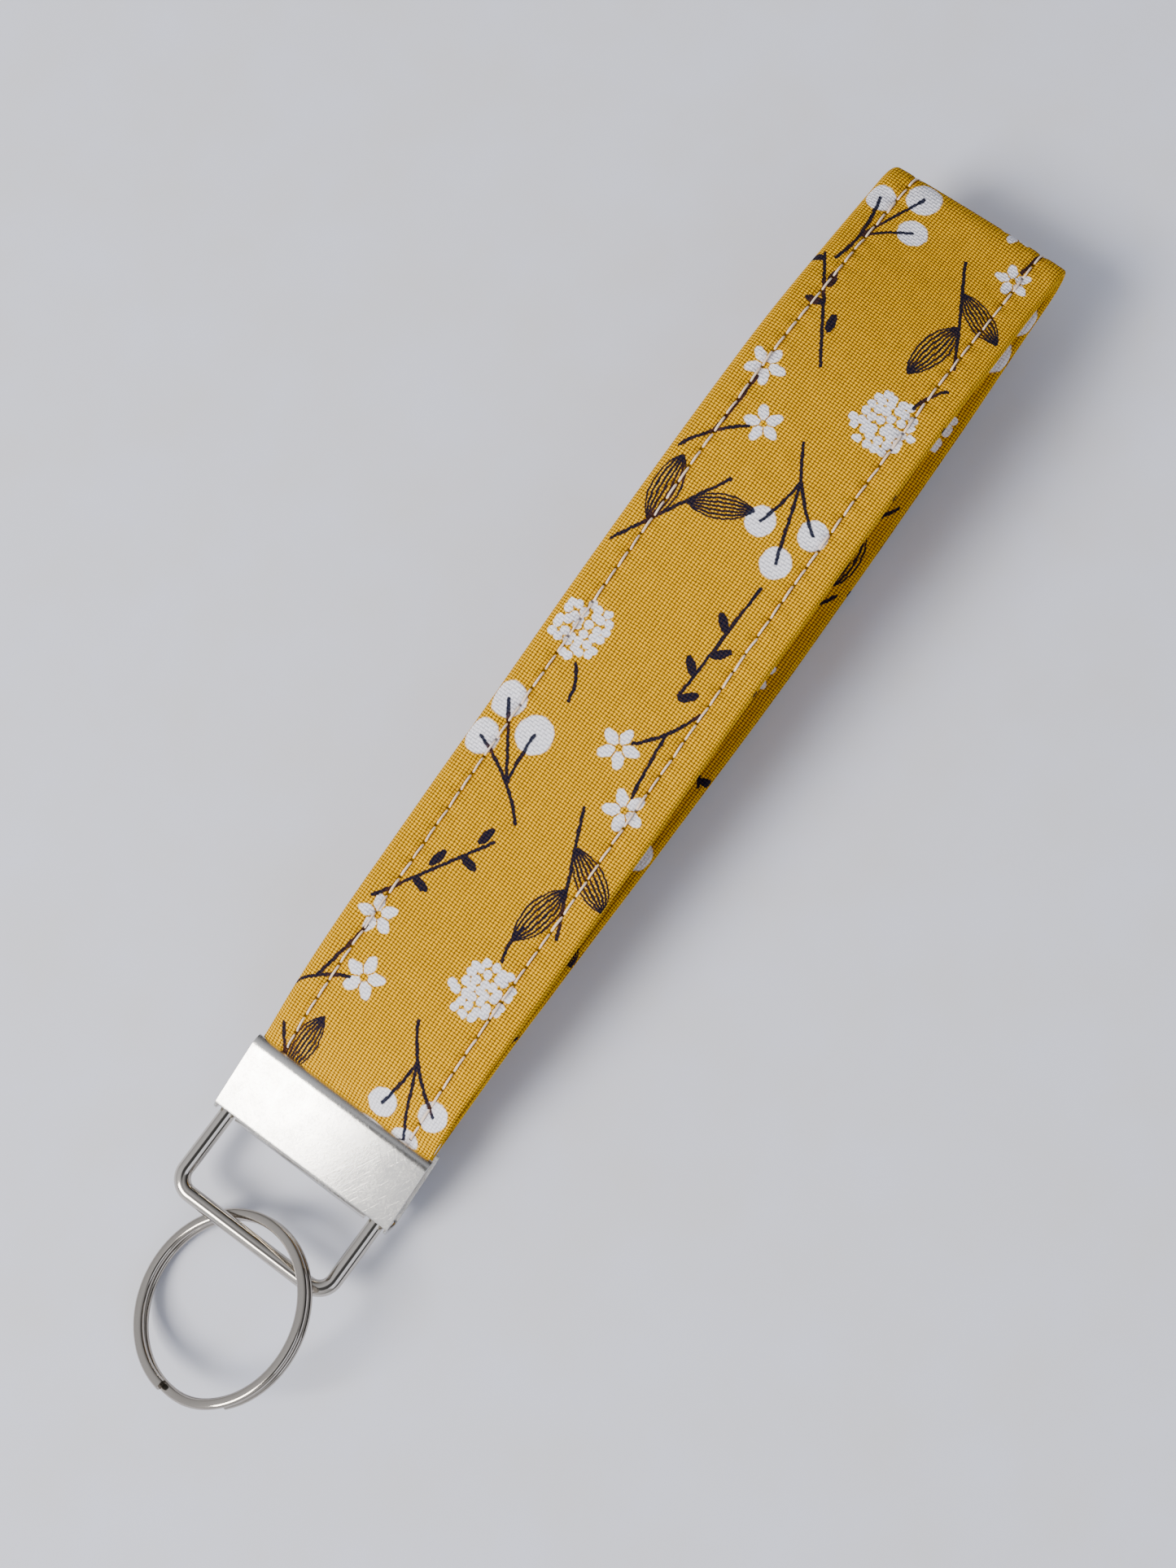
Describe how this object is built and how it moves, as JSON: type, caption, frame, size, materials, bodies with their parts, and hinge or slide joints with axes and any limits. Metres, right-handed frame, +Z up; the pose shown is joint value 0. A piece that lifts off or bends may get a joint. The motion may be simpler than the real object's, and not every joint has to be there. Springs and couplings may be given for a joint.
{
  "type": "wristlet key fob",
  "caption": "Fabric wrist loop with topstitched edges, closed by a crimped metal clamp whose wire bail carries a split key ring.",
  "frame": {"origin": "centre of the object's footprint, on the surface it lies on", "axes": "+X along the strap from the key ring to the far end of the loop, +Y across the strap, +Z up, through the two runs of the loop"},
  "size_m": [0.2212, 0.0336, 0.0287],
  "materials": {
    "printed_cotton": "matte plain weave, mustard with a white and navy botanical print",
    "interfacing": "matte",
    "thread": "soft sheen",
    "nickel_plate": "nickel plated sheet, polished with fine scuffs",
    "nickel_wire": "nickel plated wire, polished",
    "ring_steel": "nickel plated spring steel, polished"
  },
  "bodies": {
    "strap": {"printed_fabric": "printed_cotton", "interfacing_core": "interfacing", "needle_thread_left": "thread", "needle_thread_right": "thread", "bobbin_thread_left": "thread", "bobbin_thread_right": "thread", "clamp": "nickel_plate"},
    "bail": {"bail_wire": "nickel_wire"},
    "ring": {"split_ring": "ring_steel"}
  },
  "joints": [
    {"name": "bail_swing", "type": "hinge", "parent": "strap", "child": "bail", "pos_m": [-0.07019, 0.00029, 0.00592], "axis": [0, 1, 0], "range_deg": [-46, 4]},
    {"name": "ring_swing", "type": "hinge", "parent": "bail", "child": "ring", "pos_m": [-0.08527, 0.00029, 0.00671], "axis": [0, 1, 0], "range_deg": [-75, 60]}
  ]
}
